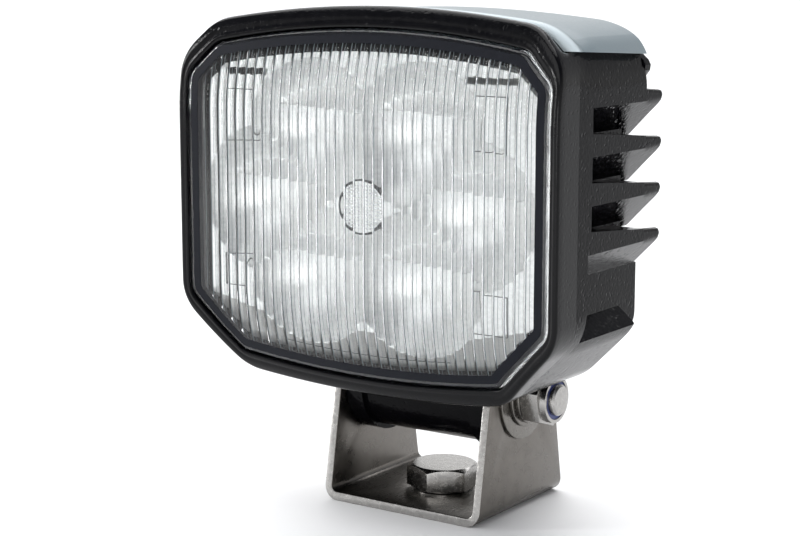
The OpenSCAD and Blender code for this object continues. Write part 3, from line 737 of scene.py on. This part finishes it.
def make_reflector():
    """One skin over plate and cups, split into the mirrored part and the plain foot."""
    verts, cup_faces, plate_faces = [], [], []
    inside = []
    for i in range(GRID_COLUMNS + 1):
        x = -GRID_X + 2 * GRID_X * i / GRID_COLUMNS
        low, high = z_span(LENS, GRID_INSET, x)
        high -= GRID_TOP
        for j in range(GRID_ROWS + 1):
            z = low + (high - low) * j / GRID_ROWS
            y, in_cup = cup_depth(x, z)
            verts.append((x, y, z))
            inside.append(in_cup)
    for i in range(GRID_COLUMNS):
        for j in range(GRID_ROWS):
            a = i * (GRID_ROWS + 1) + j
            corners = (a, a + GRID_ROWS + 1, a + GRID_ROWS + 2, a + 1)
            cx = sum(verts[c][0] for c in corners) / 4
            cz = sum(verts[c][2] for c in corners) / 4
            if SLOT_IN < abs(cx) < SLOT_OUT and SLOT_LOW < cz < SLOT_HIGH:
                continue
            foot_top = FOOT_Z + max(0, abs(cx) - FOOT_TURN) * FOOT_RISE
            grey = cz < foot_top and not any(inside[c] for c in corners)
            (plate_faces if grey else cup_faces).append(corners)
    add_mesh("reflector_cups", verts, cup_faces, "mirror_metal", "head", replaces=["reflector"], angle=32)
    add_mesh("reflector_foot", verts, plate_faces, "bare_aluminium", "head", angle=32)


def make_lines():
    """Painted shade: thin black strips along the fine outlines pressed into the plate of the reflector."""
    paths = []
    for x0, x1, z0, z1 in LINE_BOXES:
        paths.append([(x0, z0), (x1, z0), (x1, z1), (x0, z1), (x0, z0)])
    paths.append(sorted(p for p in LENS.loop(LINE_INSET) if p[1] < 45.5 and abs(p[0]) < 37))
    verts, faces = [], []
    for path in paths:
        for (xa, za), (xb, zb) in zip(path, path[1:]):
            length = math.hypot(xb - xa, zb - za)
            nx, nz = (za - zb) / length * LINE_W / 2, (xb - xa) / length * LINE_W / 2
            steps = max(1, round(length / LINE_STEP))
            first = len(verts)
            for k in range(steps + 1):
                x, z = xa + (xb - xa) * k / steps, za + (zb - za) * k / steps
                y = cup_depth(x, z)[0] - LINE_FRONT
                verts += [(x - nx, y, z - nz), (x + nx, y, z + nz)]
            starts = [first + 2 * k for k in range(steps)]
            faces += [(a, a + 1, a + 3, a + 2) for a in starts]
    add_mesh("reflector_line_shade", verts, faces, "black_plastic", "head")


make_reflector()
make_lines()


# ---------------------------------------------------------------- middle cap

CAP_PARTS, DOT_PITCH, DOT_PARTS = 64, 0.86, 8
CAP_RING = [(0, 0.9), (0, 0.15), (0.15, 0.0), (0.5, 0.0), (0.6, 0.35)]
DOT_RINGS = [(0.43, 0.32), (0.36, 0.12), (0.2, 0.02)]


def make_cap():
    """The middle disc: a dark ring round a field of small domes."""
    low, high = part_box("centre_cap")
    y, cz, r = low.y / MM, (low.z + high.z) / 2 / MM, (high.x - low.x) / 2 / MM
    verts, faces = loft([[(x, y + d, cz + z) for x, z in circle(r - inset, CAP_PARTS)]
                         for inset, d in CAP_RING])
    add_mesh("cap_ring", verts, faces, "seal_rubber", "head", angle=50)
    verts, faces = [], []
    n = int(2 * r / DOT_PITCH)
    for i in range(-n, n + 1):
        for j in range(-n, n + 1):
            x, z = i * DOT_PITCH, j * DOT_PITCH
            if math.hypot(x, z) > r - 1.1:
                continue
            base = len(verts)
            dome, skin = loft([[(x + dx, y + d, cz + z + dz) for dx, dz in circle(q, DOT_PARTS)]
                               for q, d in DOT_RINGS])
            verts += dome + [(x, y, cz + z)]
            faces += [tuple(base + v for v in face) for face in skin]
            tip = base + len(dome)
            top = tip - DOT_PARTS
            faces += [(top + k, top + (k + 1) % DOT_PARTS, tip) for k in range(DOT_PARTS)]
    back = len(verts)
    verts += [(x, y + 0.3, cz + z) for x, z in circle(r - 0.6, CAP_PARTS)]
    faces.append(tuple(range(back, back + CAP_PARTS)))
    add_mesh("cap_dots", verts, faces, "cap_grey", "head", replaces=["centre_cap"], angle=50)


make_cap()


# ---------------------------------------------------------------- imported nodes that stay

REBUILT = {"bracket": 0.25, "mounting_bolt": 0.2, "pivot_bolt": 0.2, "head_washer": 0.2, "large_washer": 0.2,
           "small_washer": 0.25, "spring_washer": 0.25, "lock_nut": 0.2, "nut_insert": 0.15}
REPLACED_ABOVE = ("housing", "top_cover", "lens", "reflector", "centre_cap")
EDGE_TURN = 28  # edges that turn by more than this many degrees are rounded


def copy_of(node, name, rounding):
    """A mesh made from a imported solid: flat areas merged, edges rounded."""
    mesh = NODES[node].data.copy()
    mesh.name = name
    bm = bmesh.new()
    bm.from_mesh(mesh)
    bmesh.ops.remove_doubles(bm, verts=bm.verts, dist=2e-6)
    bmesh.ops.dissolve_limit(bm, angle_limit=math.radians(0.6), verts=bm.verts, edges=bm.edges)
    sharp = [e for e in bm.edges if len(e.link_faces) == 2 and e.calc_face_angle(0) > math.radians(EDGE_TURN)]
    bmesh.ops.bevel(bm, geom=sharp, offset=rounding * MM, segments=3, profile=0.5, affect="EDGES",
                    clamp_overlap=True)
    bm.to_mesh(mesh)
    bm.free()
    obj = new_object(name, mesh)
    mesh.materials.clear()
    mesh.materials.append(MATERIALS[SLOT_OF[node]])
    for p in mesh.polygons:
        p.use_smooth = True
    mesh.set_sharp_from_angle(angle=math.radians(35))
    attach(obj, NODES[node]["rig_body"])
    return obj


def split_off(source, name, slot, wanted):
    """Move the faces of one piece that pass a test into a piece of their own."""
    part = source.data.copy()
    for mesh, drop in ((part, lambda f: not wanted(f)), (source.data, wanted)):
        bm = bmesh.new()
        bm.from_mesh(mesh)
        bmesh.ops.delete(bm, geom=[f for f in bm.faces if drop(f)], context="FACES")
        bm.to_mesh(mesh)
        bm.free()
    obj = new_object(name, part)
    part.materials.clear()
    part.materials.append(MATERIALS[slot])
    part.name = name
    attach(obj, source["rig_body"])


def dress(node):
    """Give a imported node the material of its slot."""
    obj = NODES[node]
    obj.data.materials.clear()
    obj.data.materials.append(MATERIALS[SLOT_OF[node]])


for node in NODES:
    if node in REBUILT:
        piece = copy_of(node, node + "_skin", REBUILT[node])
        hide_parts(node)
        if node == "bracket":
            # the cut edges facing the front get the lighter bolt steel: partly the bare metal of a cut edge,
            # partly a painted highlight, since the rear cut edges keep the bracket's colour
            split_off(piece, "bracket_cut_edge_highlight", "bolt_steel", lambda f: f.normal.y < -0.8)
    elif node not in REPLACED_ABOVE:
        dress(node)


# ---------------------------------------------------------------- floor, light, camera

FLOOR_RINGS, FLOOR_PARTS, FLOOR_Z = [5.4, 7, 30, 120, 400, 1500, 9000], 72, -0.02
SKY, LIGHT = (0.2, 0.21, 0.24, 1), (1, 1, 1, 1)
LOBES = (((0, 0, -1), -0.6, -0.12), ((-0.57, 0.81, -0.1), 0.7, 0.86))  # direction, edge and core of the light
AIM = (0, 0, 0.08)
CAMERA_PITCH, CAMERA_TURN = 9.538, 34.726


def make_floor():
    """A white floor with a hole for the bolt's shank."""
    verts, faces = loft([[(x, y, FLOOR_Z) for x, y in circle(r, FLOOR_PARTS)] for r in FLOOR_RINGS])
    mesh = bpy.data.meshes.new("floor")
    mesh.from_pydata([(x * MM, y * MM, z * MM) for x, y, z in verts], [], faces)
    floor = new_object("floor", mesh)
    mat = finish("floor_white", (0.9, 0.9, 0.9), 0.6, shade=0.01, grain=20, bump=0.0)
    mesh.materials.append(mat)


def area(name, place, size, power):
    """A rectangular lamp turned towards the object."""
    data = bpy.data.lights.new(name, "AREA")
    data.shape = "RECTANGLE"
    data.size, data.size_y = size
    data.energy = power
    lamp = new_object(name, data)
    lamp.location = place
    lamp.rotation_euler = (Vector(AIM) - Vector(place)).to_track_quat("-Z", "Y").to_euler()


def sun(name, direction, strength, angle):
    data = bpy.data.lights.new(name, "SUN")
    data.energy = strength
    data.angle = math.radians(angle)
    lamp = new_object(name, data)
    lamp.rotation_euler = Vector(direction).to_track_quat("-Z", "Y").to_euler()


def make_world():
    """A pale studio: bright up to the horizon and higher up behind the object, darker overhead."""
    world = bpy.data.worlds.new("studio")
    bpy.context.scene.world = world
    world.use_nodes = True
    nodes, wires = world.node_tree.nodes, world.node_tree.links
    coord = nodes.new("ShaderNodeTexCoord")
    shares = []
    for direction, low, high in LOBES:
        toward = nodes.new("ShaderNodeVectorMath")
        toward.operation = "DOT_PRODUCT"
        toward.inputs[1].default_value = direction
        wires.new(coord.outputs["Generated"], toward.inputs[0])
        shares.append(ramp(nodes, wires, toward.outputs["Value"], 0, 1, low, high))
    most = nodes.new("ShaderNodeMath")
    most.operation = "MAXIMUM"
    for i in range(2):
        wires.new(shares[i], most.inputs[i])
    mix = nodes.new("ShaderNodeMix")
    mix.data_type = "RGBA"
    mix.inputs["A"].default_value = SKY
    mix.inputs["B"].default_value = LIGHT
    wires.new(most.outputs["Value"], mix.inputs["Factor"])
    wires.new(mix.outputs["Result"], nodes["Background"].inputs["Color"])
    nodes["Background"].inputs["Strength"].default_value = 1.0


make_floor()
make_world()
bpy.context.scene.view_settings.view_transform = "Standard"

sun("overhead", (0.25, -0.3, -1), 3.4, 80)
area("front_box", (-0.1, -0.95, 0.8), (0.9, 0.6), 3.3)
area("low_front", (0.45, -1.0, 0.12), (0.5, 0.3), 2.0)
area("left_edge", (-0.7, -0.5, 0.3), (0.06, 0.5), 2.5)
area("far_left", (-0.9, 0.02, 0.12), (0.08, 0.4), 3)

camera = new_object("camera", bpy.data.cameras.new("camera"))
camera.data.lens = 80.65
camera.data.sensor_width = 36
camera.location = (0.2528, -0.38516, 0.138385)
camera.rotation_euler = (math.radians(90 - CAMERA_PITCH), 0, math.radians(CAMERA_TURN))
camera.data.clip_start = 0.01
bpy.context.scene.camera = camera
